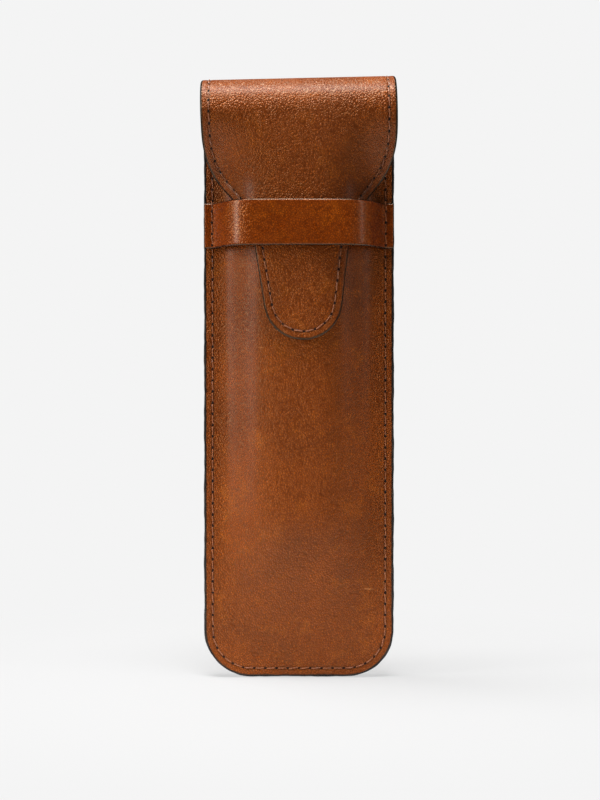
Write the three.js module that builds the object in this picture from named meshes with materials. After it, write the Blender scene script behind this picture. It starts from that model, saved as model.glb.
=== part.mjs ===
// Slim leather slip case with a tuck flap, for a pair of pens or a folding instrument.
//
// The back panel runs up, folds forward over the mouth as a crown and comes down the front as a flap.
// The flap narrows to a tongue, which tucks under a keeper strap sewn into both side seams.
// A moulded front panel is sewn to the back panel, edge to edge, along the sides and the bottom.
// Every leather is lined, and a board stiffens the back.
//
// Millimetres, +Z up, and the front faces -Y. The origin is under the middle of the closed case. The
// surfaces below put Y = 0 in the back panel's leather, and the group moves forward over the origin.

import * as THREE from "three";

// ---- Driving dimensions ----

// The body, seen from the front.
const caseWidth = 55;
const foldStart = 162.8; // height at which the back panel starts to bend forward
const crownEase = 1.45; // the crown is this much deeper than a flap that lies on the mouth
const cornerRadius = 13.5; // bottom corners
const mouthDrop = 7; // from there down to the front panel's top edge, at the side seams
const mouthScoop = 3; // how far that edge dips in the middle, for a thumb
const boardDrop = 14; // and down to the board's top edge

// Layers, and the gap that the glue or the lay of one piece on another takes.
const leather = 1.2;
const lining = 0.5;
const board = 0.6;
const strapLeather = 1.6;
const glue = 0.3;
const lay = 0.35; // between the tongue and what it lies on or under

// Seams.
const seamInset = 2.4; // stitch line, in from the edge
const threadWidth = 0.6;
const threadHeight = 0.4;
const threadLift = 0.25; // the strand lies this far above the leather
const hingeGap = 0.3; // between two pieces of cover leather at a bend
const threadStop = 1.4; // a strand ends this far short of a bend

// The moulded bulge of the front panel.
const flange = 3.6; // flat margin around the bulge
const bulgeLow = 8.4; // its depth where it is fully risen, above the bottom
const bulgeMouth = 10.4; // its depth at the mouth
const bulgeRise = 46; // height over which it rises from the bottom seam
const bulgeFullness = 1.6; // 1 is a plain cosine, more is flatter on top with steeper sides
const coverFullness = 1.9; // the tongue lies a little flatter across than the bulge under it
const strapFullness = 3.4; // the strap is stiff, and stands fuller still

// Keeper strap.
const strapDrop = 25.4; // from where the back bends down to the strap's top edge
const strapHeight = 13;

// Flap and tongue, in half widths and heights on the closed case. The drops are below the bend.
const flapOverhang = 0.3; // the flap is wider than the body by this, each side
const foldTilt = THREE.MathUtils.degToRad(1.3); // the flap is folded a little askew
const shoulderDrop = 6; // where the flap's sides start to turn in
const shoulderInset = 7.5; // in from the body's edge, where the flap ends and the tongue starts
const shoulderAngle = THREE.MathUtils.degToRad(37); // of the outline there, from the vertical
const tongueSplit = 0.9; // the tongue starts this far above the strap
const tongueHalf = 13.7; // half width at the strap's lower edge
const tongueDrop = 65.3; // to the tip
const tipRadius = 11.4;
const tipBlunt = 0.16; // angle of the tip's arc left off on each side of its lowest point
const flapSettle = 22; // height over which the flap comes in from the fold to the bulge

// ---- Worked out from those ----

const halfWidth = caseWidth / 2;
const flapHalf = halfWidth + flapOverhang;
const shoulderHalf = halfWidth - shoulderInset;
const backFace = leather / 2; // outer face of the back panel, in Y
const coverStack = leather + glue + lining; // flap and tongue, leather and lining together
const backStack = leather + glue + board + glue + lining;
const frontFace = backFace - backStack - glue - coverStack; // outer face of the front panel's margin
const stitchedStrip = seamInset + threadWidth; // along an edge, kept flat across
const threadRoom = threadLift + threadHeight + glue; // what a layer needs over a row of stitches
const mouthDepth = backStack + glue + coverStack + bulgeMouth + threadRoom + coverStack;
const foldRadius = (mouthDepth + crownEase) / 2; // outer radius of the crown
const mouthHeight = foldStart - mouthDrop;
const boardHeight = foldStart - boardDrop;
const strapTop = foldStart - strapDrop;
const strapBottom = strapTop - strapHeight;
const shoulderTop = foldStart - shoulderDrop;
const tongueTip = foldStart - tongueDrop;
const foldLength = Math.PI * foldRadius;
const frontStart = foldStart + foldLength; // distance along the cover at which the front run begins
const splitHeight = strapTop + tongueSplit;
const axisDirection = new THREE.Vector3(Math.cos(foldTilt), 0, Math.sin(foldTilt));
const foldUp = new THREE.Vector3(-Math.sin(foldTilt), 0, Math.cos(foldTilt));

const smooth = (x) => THREE.MathUtils.smoothstep(x, 0, 1);

// Distance along the cover of a height on its front run.
const alongAt = (height) => frontStart + foldStart - height;

// Half width of the body's outline at a height, drawn in from the edge by an inset.
function bodyHalf(height, inset = 0) {
  const radius = cornerRadius - inset;
  const below = cornerRadius - height;
  if (below <= 0) return halfWidth - inset;
  if (below > radius) return 0;
  return halfWidth - cornerRadius + Math.sqrt(radius * radius - below * below);
}

// ---- Surfaces: each gives a point on the outer face and the outward normal ----

// How deep the bulge is on the middle line at a height.
function bulgeDepth(height) {
  const risen = 0.5 - 0.5 * Math.cos(Math.PI * THREE.MathUtils.clamp((height - flange) / bulgeRise, 0, 1));
  const share = THREE.MathUtils.clamp((height - bulgeRise) / (mouthHeight - bulgeRise), 0, 1.2);
  return risen * (bulgeLow + (bulgeMouth - bulgeLow) * share);
}

// The bulge's cross-section: 1 on the middle line, 0 at the margin.
function crossSection(x, half, fullness) {
  const across = half > 0 ? Math.min(1, Math.abs(x) / half) : 1;
  return 0.5 + 0.5 * Math.cos(Math.PI * across ** fullness);
}

function bulge(x, height, fullness = bulgeFullness) {
  return bulgeDepth(height) * crossSection(x, bodyHalf(height, flange), fullness);
}

// A surface that faces the front, given its Y over (x, height).
function facingFront(yAt) {
  const step = 0.05;
  return (x, height) => {
    const slopeX = (yAt(x + step, height) - yAt(x - step, height)) / (2 * step);
    const slopeZ = (yAt(x, height + step) - yAt(x, height - step)) / (2 * step);
    return {
      point: new THREE.Vector3(x, yAt(x, height), height),
      normal: new THREE.Vector3(slopeX, -1, slopeZ).normalize(),
    };
  };
}

const frontSurface = facingFront((x, height) => frontFace - bulge(x, height));

// The steepness of the bulge thins a layer that is offset along Y, so the offset grows with it.
function offsetOverBulge(x, height, offset) {
  return offset / Math.abs(frontSurface(x, height).normal.y);
}

// Outer face of the flap and tongue on the front run: flat below the fold, then lying on the bulge.
// Above the strap it also clears the stitches of the mouth and the side seams.
function coverY(x, height) {
  const fold = backFace - 2 * foldRadius;
  const room = THREE.MathUtils.lerp(lay, threadRoom, smooth((height - strapTop) / (mouthHeight - strapTop)));
  const lying = frontFace - bulge(x, height, coverFullness) - offsetOverBulge(x, height, coverStack + room);
  return THREE.MathUtils.lerp(fold, lying, smooth((foldStart - height) / flapSettle));
}

const coverFrontSurface = facingFront(coverY);

// Inner face of the keeper strap. It clears the tongue's stitches, runs straight from the tongue to
// the side seams, and stands fuller than that where it is stiff.
function strapY(x, height) {
  const margin = frontFace - glue;
  const panel = margin - bulge(x, height) - offsetOverBulge(x, height, glue) + glue;
  const seat = halfWidth - stitchedStrip - strapLeather;
  const overTongue = (at) => coverY(at, height) - offsetOverBulge(at, height, threadRoom);
  const beyond = THREE.MathUtils.clamp((Math.abs(x) - shoulderHalf) / (seat - shoulderHalf), 0, 1);
  const tight = beyond > 0 ? THREE.MathUtils.lerp(overTongue(shoulderHalf), margin, beyond) : overTongue(x);
  const full = margin + (overTongue(0) - margin) * crossSection(x, seat, strapFullness);
  return Math.min(tight, full, panel);
}

const strapInnerSurface = facingFront(strapY);

function strapSurface(x, height) {
  const { point, normal } = strapInnerSurface(x, height);
  return { point: point.addScaledVector(normal, strapLeather), normal };
}

// The cover: up the back, over the fold and down the front, as one strip. across runs towards -X.
function coverSurface(across, along) {
  const x = -across;
  const up = along - foldStart;
  if (up <= 0) {
    const tilt = smooth((along - (foldStart - 40)) / 40) * Math.tan(foldTilt);
    return {
      point: new THREE.Vector3(x, backFace, along + x * tilt),
      normal: new THREE.Vector3(0, 1, 0),
    };
  }
  const origin = new THREE.Vector3(0, 0, foldStart).addScaledVector(axisDirection, x);
  if (up <= foldLength) {
    const turn = up / foldRadius;
    const normal = new THREE.Vector3(0, Math.cos(turn), 0).addScaledVector(foldUp, Math.sin(turn));
    const point = origin.addScaledVector(foldUp, foldRadius * Math.sin(turn));
    point.y = backFace - foldRadius * (1 - Math.cos(turn));
    return { point, normal };
  }
  const down = origin.addScaledVector(foldUp, foldLength - up);
  return coverFrontSurface(down.x, down.z);
}

// ---- Outlines, as rows of half width and distance along ----

const bodyCornerRows = 6;
const bodySideRows = 12;

function bodyRows(top, sideRows = bodySideRows, extra = []) {
  const rows = [];
  for (let i = 0; i <= bodyCornerRows; i++) {
    const height = cornerRadius * (1 - Math.cos((i / bodyCornerRows) * (Math.PI / 2)));
    rows.push({ half: bodyHalf(height), along: height });
  }
  for (let i = 1; i <= sideRows; i++) {
    const height = cornerRadius + ((top - cornerRadius) * i) / sideRows;
    rows.push({ half: halfWidth, along: height });
  }
  return [...rows, ...extra];
}

// Rows over part of the fold, between two angles, each kept back from a bend by half a hinge gap.
function foldRows(from, to, steps) {
  const rows = [];
  for (let i = 0; i <= steps; i++) {
    const angle = from + ((to - from) * i) / steps;
    rows.push({ half: flapHalf, along: foldStart + foldRadius * angle });
  }
  return rows;
}

const bendBack = Math.PI / 4; // the fold's two bends, as angles round it
const bendFront = (3 * Math.PI) / 4;
const halfHinge = hingeGap / 2 / foldRadius;

const pathRows = (path, steps) =>
  path.getPoints(steps).map((at) => ({ half: at.x, along: alongAt(at.y) }));

// The flap's sides from the fold down to where the tongue starts: straight, then a turned-in shoulder.
function flapPath() {
  const path = new THREE.Path();
  path.moveTo(flapHalf, foldStart);
  path.lineTo(flapHalf, shoulderTop);
  const reach = 0.36 * (shoulderTop - splitHeight);
  path.bezierCurveTo(
    flapHalf,
    shoulderTop - 1.5 * reach,
    shoulderHalf + reach * Math.sin(shoulderAngle),
    splitHeight + reach * Math.cos(shoulderAngle),
    shoulderHalf,
    splitHeight,
  );
  return path;
}

// The tongue's side: sweeping in under the strap, a straight taper and a round tip.
function tonguePath() {
  const top = splitHeight - hingeGap;
  const topHalf = shoulderHalf - hingeGap * Math.tan(shoulderAngle);
  const centre = tongueTip + tipRadius;
  // The taper leaves the tip's circle at a tangent and passes through the half width at the strap.
  const rise = strapBottom - centre;
  const leaves = Math.atan2(rise, tongueHalf) - Math.acos(tipRadius / Math.hypot(tongueHalf, rise));
  const lean = -leaves;
  const reach = 0.35 * (top - strapBottom);
  const path = new THREE.Path();
  path.moveTo(topHalf, top);
  path.bezierCurveTo(
    topHalf - reach * Math.sin(shoulderAngle),
    top - reach * Math.cos(shoulderAngle),
    tongueHalf + reach * Math.sin(lean),
    strapBottom + reach * Math.cos(lean),
    tongueHalf,
    strapBottom,
  );
  path.absarc(0, centre, tipRadius, leaves, -Math.PI / 2 + tipBlunt, true);
  return path;
}

// ---- Solids ----

// Splits the quads of a box's front and back faces alike, mirrored left and right, so that layers nest.
function nestQuads(box) {
  const { index } = box;
  const at = box.getAttribute("position");
  for (const { start, count } of box.groups.slice(4)) {
    for (let i = start; i < start + count; i += 6) {
      const [a, b, d, , c] = [0, 1, 2, 3, 4].map((k) => index.getX(i + k));
      if ((at.getX(a) + at.getX(c)) * at.getZ(a) > 0) {
        [a, b, c, a, c, d].forEach((corner, k) => index.setX(i + k, corner));
      }
    }
  }
}

// A closed sheet between two depths under a surface. Its first and last columns carry the stitch line.
// bow moves a row's points along it, for a curved edge.
function sheet(rows, columns, surface, top, bottom, bow = () => 0) {
  const box = new THREE.BoxGeometry(1, 1, 1, columns, rows.length - 1, 1);
  nestQuads(box);
  const at = box.getAttribute("position");
  for (let i = 0; i < at.count; i++) {
    const row = rows[Math.round((at.getY(i) + 0.5) * (rows.length - 1))];
    const inset = Math.min(stitchedStrip, row.half / 2);
    const share = at.getX(i) / (0.5 - 1 / columns);
    const across = Math.abs(share) > 1.01 ? Math.sign(share) * row.half : share * (row.half - inset);
    const along = row.along + bow(across, row.along);
    const depth = at.getZ(i) > 0 ? top : bottom;
    const { point, normal } = surface(across, along);
    point.addScaledVector(normal, -(typeof depth === "function" ? depth(along) : depth));
    at.setXYZ(i, point.x, point.y, point.z);
  }
  return box;
}

// A flat strand of thread laid along stations, each a point on the leather and its normal.
function strand(stations) {
  const box = new THREE.BoxGeometry(1, 1, 1, 1, stations.length - 1, 1);
  const at = box.getAttribute("position");
  const last = stations.length - 1;
  for (let i = 0; i < at.count; i++) {
    const k = Math.round((at.getY(i) + 0.5) * last);
    const { point, normal } = stations[k];
    const tangent = stations[Math.min(k + 1, last)].point
      .clone()
      .sub(stations[Math.max(k - 1, 0)].point)
      .normalize();
    const side = tangent.clone().cross(normal).normalize();
    const height = threadLift + (at.getZ(i) + 0.5) * threadHeight;
    const placed = point
      .clone()
      .addScaledVector(side, at.getX(i) * threadWidth)
      .addScaledVector(normal, height);
    at.setXYZ(i, placed.x, placed.y, placed.z);
  }
  return box;
}

// The stitch line round the body, from the top of one side to the top of the other.
function seamPath(top) {
  const path = new THREE.Path();
  const side = halfWidth - seamInset;
  const radius = cornerRadius - seamInset;
  path.moveTo(-side, top);
  path.lineTo(-side, cornerRadius);
  path.absarc(cornerRadius - halfWidth, cornerRadius, radius, Math.PI, 1.5 * Math.PI, false);
  path.lineTo(halfWidth - cornerRadius, seamInset);
  path.absarc(halfWidth - cornerRadius, cornerRadius, radius, 1.5 * Math.PI, 2 * Math.PI, false);
  path.lineTo(side, top);
  return path.getPoints(bodyCornerRows);
}

// Rows moved in from the outline by the seam inset, square to it.
function insetRows(rows) {
  return rows.map((row, i) => {
    const next = rows[Math.min(i + 1, rows.length - 1)];
    const before = rows[Math.max(i - 1, 0)];
    const tangent = new THREE.Vector2(next.half - before.half, next.along - before.along).normalize();
    return { half: row.half - seamInset * tangent.y, along: row.along + seamInset * tangent.x };
  });
}

const coverStations = (rows, side) => rows.map((row) => coverSurface(side * row.half, row.along));

// ---- Materials ----

const material = (color, roughness) => new THREE.MeshStandardMaterial({ color, roughness, metalness: 0 });
const hide = material(0x8a481c, 0.45);
const suede = material(0x3a2519, 0.9);
const fibreboard = material(0x6b5a45, 0.85);
const thread = material(0xb06a3a, 0.6);

const group = new THREE.Group();
function add(name, geometry, finish) {
  const mesh = new THREE.Mesh(geometry, finish);
  mesh.name = name;
  group.add(mesh);
}

// ---- Body ----

const bulgeColumns = 16;
const flatColumns = 4;
const strapColumns = 28;
const flapColumns = 12;
const tongueColumns = 10;
const linedTop = leather + glue; // depth of a lining's outer face under the leather's

const mouthDip = (x, height) => {
  const share = smooth((height - strapTop) / (mouthHeight - strapTop));
  return -mouthScoop * share * crossSection(x, halfWidth - flange, 1);
};

function addFront() {
  const rows = bodyRows(mouthHeight);
  add("front_panel", sheet(rows, bulgeColumns, frontSurface, 0, leather, mouthDip), hide);
  add("front_lining", sheet(rows, bulgeColumns, frontSurface, linedTop, coverStack, mouthDip), suede);
}

// The back lining lies on the board, and closes up to the leather above it.
function backLiningDepth(extra) {
  const overBoard = backStack - lining;
  return (along) => THREE.MathUtils.lerp(overBoard, linedTop, smooth((along - boardHeight - 1) / 7)) + extra;
}

function addBack() {
  const fold = foldRows(0, bendBack - halfHinge, 3);
  const rows = bodyRows(boardHeight - 20, 2, [
    ...[0, 9, 14].map((up) => ({ half: halfWidth, along: boardHeight + up - 8 })),
    ...fold,
  ]);
  const outside = backLiningDepth(0);
  const inside = backLiningDepth(lining);
  const stiffened = bodyRows(boardHeight, 1);
  add("back_panel", sheet(rows, flatColumns, coverSurface, 0, leather), hide);
  add("back_lining", sheet(rows, flatColumns, coverSurface, outside, inside), suede);
  add("back_board", sheet(stiffened, flatColumns, coverSurface, linedTop, linedTop + board), fibreboard);
}

function addStrap() {
  const rows = [0, 1, 2].map((i) => ({ half: halfWidth, along: strapBottom + (strapHeight * i) / 2 }));
  add("keeper_strap", sheet(rows, strapColumns, strapSurface, 0, strapLeather), hide);
}

// The front thread climbs over the strap's ends, which the side seams hold.
function frontStation(x, height) {
  const onStrap = height > strapBottom - glue && height < strapTop + glue;
  return onStrap ? strapSurface(x, height) : frontSurface(x, height);
}

function addBodyThreads() {
  const side = halfWidth - seamInset;
  const ramp = 1.3; // along the seam, on each side of the strap
  const climbs = [strapTop + ramp, strapTop + glue - 0.01, strapBottom - glue + 0.01, strapBottom - ramp];
  const outline = seamPath(mouthHeight - 1);
  const stations = [
    outline[0],
    ...climbs.map((height) => ({ x: -side, y: height })),
    ...outline.slice(1, -1),
    ...climbs.toReversed().map((height) => ({ x: side, y: height })),
    outline.at(-1),
  ].map((at) => frontStation(at.x, at.y));
  add("front_seam_thread", strand(stations), thread);

  // The back thread runs on up the cover's edges to the first bend.
  const bendStop = { half: flapHalf - seamInset, along: foldStart + foldRadius * bendBack - threadStop };
  const foldFoot = [0, 0.5].map((share) => ({
    half: bendStop.half,
    along: THREE.MathUtils.lerp(foldStart, bendStop.along, share),
  }));
  const foldPart = [...foldFoot, bendStop];
  const back = [
    ...foldPart.toReversed().map((row) => coverSurface(row.half, row.along)),
    ...seamPath(foldStart - 20).map((at) => coverSurface(-at.x, at.y)),
    ...foldPart.map((row) => coverSurface(-row.half, row.along)),
  ];
  add("back_seam_thread", strand(back), thread);

  const mouth = [];
  const mouthSteps = 16;
  const reach = halfWidth - seamInset - 2 * threadWidth;
  for (let i = 0; i <= mouthSteps; i++) {
    const x = reach * ((2 * i) / mouthSteps - 1);
    const height = mouthHeight - seamInset;
    mouth.push(frontSurface(x, height + mouthDip(x, height)));
  }
  add("mouth_thread", strand(mouth), thread);
}

// ---- Cover: crown, flap and tongue ----

function addCoverPiece(name, rows, columns) {
  add(`${name}_leather`, sheet(rows, columns, coverSurface, 0, leather), hide);
  add(`${name}_lining`, sheet(rows, columns, coverSurface, linedTop, coverStack), suede);
}

function addCover() {
  addCoverPiece("crown", foldRows(bendBack + halfHinge, bendFront - halfHinge, 6), flatColumns);
  const flapFold = foldRows(bendFront + halfHinge, Math.PI, 3);
  const flapRows = [...flapFold, ...pathRows(flapPath(), 12).slice(1)];
  addCoverPiece("flap", flapRows, flapColumns);
  const tongueRows = pathRows(tonguePath(), 7);
  addCoverPiece("tongue", tongueRows, tongueColumns);

  const stop = threadStop / foldRadius;
  const crownEdge = foldRows(bendBack + stop, bendFront - stop, 5);
  const flapEdge = [...foldRows(bendFront + stop, Math.PI, 3), ...flapRows.slice(flapFold.length)];
  for (const [side, name] of [
    [1, "left"],
    [-1, "right"],
  ]) {
    const crownLine = crownEdge.map((row) => ({ ...row, half: row.half - seamInset }));
    add(`crown_thread_${name}`, strand(coverStations(crownLine, side)), thread);
    add(`flap_thread_${name}`, strand(coverStations(insetRows(flapEdge).slice(0, -1), side)), thread);
  }
  const half = insetRows(tongueRows).slice(1);
  const tongueLine = [...coverStations(half, 1), ...coverStations(half.toReversed(), -1)];
  add("tongue_thread", strand(tongueLine), thread);
}

addFront();
addBack();
addStrap();
addBodyThreads();
addCover();
group.position.y = foldRadius - backFace;

export default group;
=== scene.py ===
# The looks of a slim leather slip case with a tuck flap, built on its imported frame.
import math

import bpy
import numpy as np
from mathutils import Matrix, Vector


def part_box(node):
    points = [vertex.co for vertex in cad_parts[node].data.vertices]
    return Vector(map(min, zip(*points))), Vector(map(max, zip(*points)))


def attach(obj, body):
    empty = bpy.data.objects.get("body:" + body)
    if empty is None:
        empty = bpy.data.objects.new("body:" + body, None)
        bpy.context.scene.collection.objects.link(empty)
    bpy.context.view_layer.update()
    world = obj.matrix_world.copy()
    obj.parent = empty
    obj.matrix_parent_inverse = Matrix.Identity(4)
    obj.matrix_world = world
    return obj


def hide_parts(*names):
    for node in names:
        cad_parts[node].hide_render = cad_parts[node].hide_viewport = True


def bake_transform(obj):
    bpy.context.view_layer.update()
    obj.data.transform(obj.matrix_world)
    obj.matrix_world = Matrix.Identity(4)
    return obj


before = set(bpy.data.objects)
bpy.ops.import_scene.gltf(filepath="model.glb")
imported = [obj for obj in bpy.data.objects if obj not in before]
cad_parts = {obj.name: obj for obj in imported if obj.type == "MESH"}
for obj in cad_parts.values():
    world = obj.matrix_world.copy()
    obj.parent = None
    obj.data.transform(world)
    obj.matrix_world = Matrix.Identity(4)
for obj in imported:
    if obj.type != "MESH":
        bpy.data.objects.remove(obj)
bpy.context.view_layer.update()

mm = 0.001


def smoothStep(value):
    t = np.clip(value, 0, 1)
    return t * t * (3 - 2 * t)


def boxOf(node):
    low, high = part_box(node)
    return [v / mm for v in low], [v / mm for v in high]


print("measuring the frame")

panelHigh = boxOf("front_panel")[1]
backHigh = boxOf("back_panel")[1]
strapLow, strapHigh = boxOf("keeper_strap")
flapLow = boxOf("flap_leather")[0]
tongueLow = boxOf("tongue_leather")[0]

caseSizes = {  # millimetres
    "leather": 1.2,
    "lining": 0.8,  # fills the glue line too
    "strapLeather": 1.6,
    "cornerRadius": 13.5,
    "mouthDrop": 7.0,  # from the start of the fold down to the mouth
    "mouthScoop": 3.0,
    "flapOverhang": 0.3,
    "foldTilt": math.radians(1.3),
    "widening": 24,  # under the fold, where the back grows to the flap's width
    "bend": 0.75,  # radius that rounds an outer edge
}
halfWidth = panelHigh[0]
frontFace = panelHigh[1] - caseSizes["leather"]  # margin of the front panel
backFace = backHigh[1]
foldRadius = (backFace - flapLow[1]) / 2
mouthHeight = panelHigh[2]
foldStart = mouthHeight + caseSizes["mouthDrop"]
foldLength = math.pi * foldRadius
flapHalf = halfWidth + caseSizes["flapOverhang"]
strapBottom, strapTop = strapLow[2], strapHigh[2]
coverStack = caseSizes["leather"] + caseSizes["lining"]
tilt = caseSizes["foldTilt"]

bulgeShape = {  # the moulded front, in millimetres
    "flange": 3.6,
    "low": 8.4,
    "mouth": 10.4,
    "rise": 46.0,
    "fullness": 1.6,
    "coverFullness": 1.9,
    "settle": 22.0,  # the flap comes in from the fold over this height
    "wobble": 0.16,  # unevenness left by the hand moulding
    "clearance": 0.06,  # between the flap and the front, under the strap
    "looseness": 0.8,  # more of it towards the mouth
}


def bodyHalf(height, inset=0.0):
    corner = caseSizes["cornerRadius"]
    radius = corner - inset
    below = np.clip(corner - height, 0, radius)
    return halfWidth - corner + np.sqrt(radius**2 - below**2)


def wobble(x, z):  # slow waves, so that no highlight runs dead straight
    waves = np.sin(x * 0.21 + z * 0.053 + 0.7) + 0.7 * np.sin(x * 0.13 - z * 0.097 + 2.1)
    return bulgeShape["wobble"] * (waves + 0.5 * np.sin(z * 0.19 + x * 0.05)) / 1.6


def bulge(x, z, fullness):
    b = bulgeShape
    rise = 0.5 - 0.5 * np.cos(math.pi * np.clip((z - b["flange"]) / b["rise"], 0, 1))
    share = np.clip((z - b["rise"]) / (mouthHeight - b["rise"]), -0.3, 1.2)
    half = np.maximum(bodyHalf(z, b["flange"]), 0.1)
    across = np.clip(np.abs(x) / half, 0, 1)
    section = 0.5 + 0.5 * np.cos(math.pi * across**fullness)
    return rise * (b["low"] + (b["mouth"] - b["low"]) * share + wobble(x, z)) * section


def panelDepth(x, z):
    return frontFace - bulge(x, z, bulgeShape["fullness"])


def facing(depthAt, x, z):  # points and outward normals of a surface that faces the front
    step = 0.05
    slopeX = (depthAt(x + step, z) - depthAt(x - step, z)) / (2 * step)
    slopeZ = (depthAt(x, z + step) - depthAt(x, z - step)) / (2 * step)
    normal = np.stack([slopeX, -np.ones_like(slopeX), slopeZ], -1)
    normal /= np.linalg.norm(normal, axis=-1, keepdims=True)
    return np.stack([x, depthAt(x, z), z], -1), normal


def panelSurface(x, z):
    return facing(panelDepth, x, z)


def steepness(x, z):
    return 1 / np.abs(panelSurface(x, z)[1][..., 1])


def coverDepth(x, z):
    b = bulgeShape
    free = smoothStep((z - strapTop) / (mouthHeight - strapTop))
    room = b["clearance"] + b["looseness"] * free
    lying = frontFace - bulge(x, z, b["coverFullness"]) - (coverStack + room) * steepness(x, z)
    t = smoothStep((foldStart - z) / b["settle"])
    return (backFace - 2 * foldRadius) * (1 - t) + lying * t


def coverSurface(across, along):  # up the back, over the fold and down the front
    x = -across
    up = along - foldStart
    turn = np.clip(up, 0, foldLength) / foldRadius
    lean = smoothStep((along - foldStart + 40) / 40) * math.tan(tilt)
    rising = np.stack([x, np.full_like(x, backFace), along + x * lean], -1)
    risingNormal = np.zeros_like(rising)
    risingNormal[..., 1] = 1
    s, c = np.sin(turn), np.cos(turn)
    lift = foldRadius * s
    folded = np.stack(
        [x * math.cos(tilt) - lift * math.sin(tilt), backFace - foldRadius * (1 - c),
         foldStart + x * math.sin(tilt) + lift * math.cos(tilt)], -1)
    foldedNormal = np.stack([-s * math.sin(tilt), c, s * math.cos(tilt)], -1)
    drop = np.maximum(up - foldLength, 0)
    downX = x * math.cos(tilt) + drop * math.sin(tilt)
    downZ = foldStart + x * math.sin(tilt) - drop * math.cos(tilt)
    falling, fallingNormal = facing(coverDepth, downX, downZ)
    point = np.where((up <= 0)[..., None], rising, np.where((up <= foldLength)[..., None], folded, falling))
    normal = np.where((up <= 0)[..., None], risingNormal,
                      np.where((up <= foldLength)[..., None], foldedNormal, fallingNormal))
    return point, normal


strapShape = {"flat": 1.6, "shoulder": 7.5, "fullness": 4.2, "lift": 0.45}  # millimetres


def strapDepth(x, z):
    margin = frontFace - 0.05
    seat = halfWidth - strapShape["flat"] - caseSizes["strapLeather"]
    shoulder = halfWidth - strapShape["shoulder"]

    def overTongue(at):
        return coverDepth(at, z) - strapShape["lift"] * steepness(at, z)

    beyond = np.clip((np.abs(x) - shoulder) / (seat - shoulder), 0, 1)
    top = overTongue(np.full_like(x, shoulder))
    tight = np.where(beyond > 0, top + (margin - top) * beyond, overTongue(x))
    across = np.clip(np.abs(x) / seat, 0, 1) ** strapShape["fullness"]
    full = margin + (overTongue(np.zeros_like(x)) - margin) * (0.5 + 0.5 * np.cos(math.pi * across))
    softness = 0.35  # blends the two where they cross
    gap = np.clip(0.5 + (full - tight) / (2 * softness), 0, 1)
    return full * (1 - gap) + tight * gap - softness * gap * (1 - gap)


def strapSurface(x, z):
    inner, normal = facing(strapDepth, x, z)
    return inner + normal * caseSizes["strapLeather"], normal


# outlines on the developed leather, in millimetres

outlineSizes = {
    "shoulderDrop": 6.0,
    "shoulderInset": 7.5,
    "shoulderAngle": math.radians(37),
    "split": 0.9,
    "tongueHalf": 13.7,
    "tipRadius": 11.4,
}


def bezier(points, count):
    t = np.linspace(0, 1, count)[:, None]
    p = np.array(points, float)
    return (1 - t)**3 * p[0] + 3 * (1 - t)**2 * t * p[1] + 3 * (1 - t) * t**2 * p[2] + t**3 * p[3]


def coverOutline():  # half width against distance along, from the middle of the fold to the tip
    o = outlineSizes
    shoulderTop = foldStart - o["shoulderDrop"]
    shoulderHalf = halfWidth - o["shoulderInset"]
    split = strapTop + o["split"]
    lean, rise = o["shoulderAngle"], shoulderTop - split
    reach = 0.36 * rise
    shoulder = bezier([(flapHalf, shoulderTop), (flapHalf, shoulderTop - 1.5 * reach),
                       (shoulderHalf + reach * math.sin(lean), split + reach * math.cos(lean)),
                       (shoulderHalf, split)], 40)
    centre = tongueLow[2] + o["tipRadius"]
    over = strapBottom - centre
    leaves = math.atan2(over, o["tongueHalf"])
    leaves -= math.acos(o["tipRadius"] / math.hypot(o["tongueHalf"], over))
    reach = 0.35 * (split - strapBottom)
    neck = bezier([(shoulderHalf, split),
                   (shoulderHalf - reach * math.sin(lean), split - reach * math.cos(lean)),
                   (o["tongueHalf"] - reach * math.sin(leaves), strapBottom + reach * math.cos(leaves)),
                   (o["tongueHalf"], strapBottom)], 40)
    angles = np.linspace(leaves, -math.pi / 2 + 0.02, 60)
    tip = np.stack([o["tipRadius"] * np.cos(angles), centre + o["tipRadius"] * np.sin(angles)], -1)
    side = np.concatenate([[(flapHalf, foldStart)], shoulder, neck[1:], tip])
    front = np.stack([side[:, 0], foldStart + foldLength + foldStart - side[:, 1]], -1)
    fold = np.stack([np.full(30, flapHalf), foldStart + foldLength * np.linspace(0.5, 1, 30)], -1)
    return np.concatenate([fold[:-1], front])


def backOutline():  # from the bottom edge to the middle of the fold
    corner = caseSizes["cornerRadius"]
    angles = np.linspace(0, math.pi / 2, 40)
    bend = np.stack([halfWidth - corner + corner * np.sin(angles), corner * (1 - np.cos(angles))], -1)
    side = [(halfWidth, foldStart - caseSizes["widening"]), (flapHalf, foldStart), (flapHalf, foldStart + foldLength / 2)]
    return np.concatenate([bend, side])


def panelOutline():  # half of the front panel's edge, from the middle of the bottom to the side's top
    corner = caseSizes["cornerRadius"]
    angles = np.linspace(0, math.pi / 2, 40)
    bend = np.stack([halfWidth - corner + corner * np.sin(angles), corner * (1 - np.cos(angles))], -1)
    return np.concatenate([[(0, 0)], bend, [(halfWidth, mouthHeight)]])


def lengths(line):
    steps = np.linalg.norm(np.diff(line, axis=0), axis=1)
    return np.concatenate([[0], np.cumsum(steps)])


def resample(line, spacing):
    run = lengths(line)
    count = max(2, int(round(run[-1] / spacing)) + 1)
    at = np.linspace(0, run[-1], count)
    return np.stack([np.interp(at, run, line[:, i]) for i in range(line.shape[1])], -1)


def distanceTo(line, x, y):  # from each point of a grid to a polyline
    a, b = line[:-1], line[1:]
    p = np.stack([x.ravel(), y.ravel()], -1)
    best = np.full(len(p), 1e9)
    for start, end in zip(a, b):
        d = end - start
        t = np.clip(((p - start) @ d) / max(d @ d, 1e-12), 0, 1)
        best = np.minimum(best, np.hypot(*(p - start - t[:, None] * d).T))
    return best.reshape(x.shape)


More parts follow.
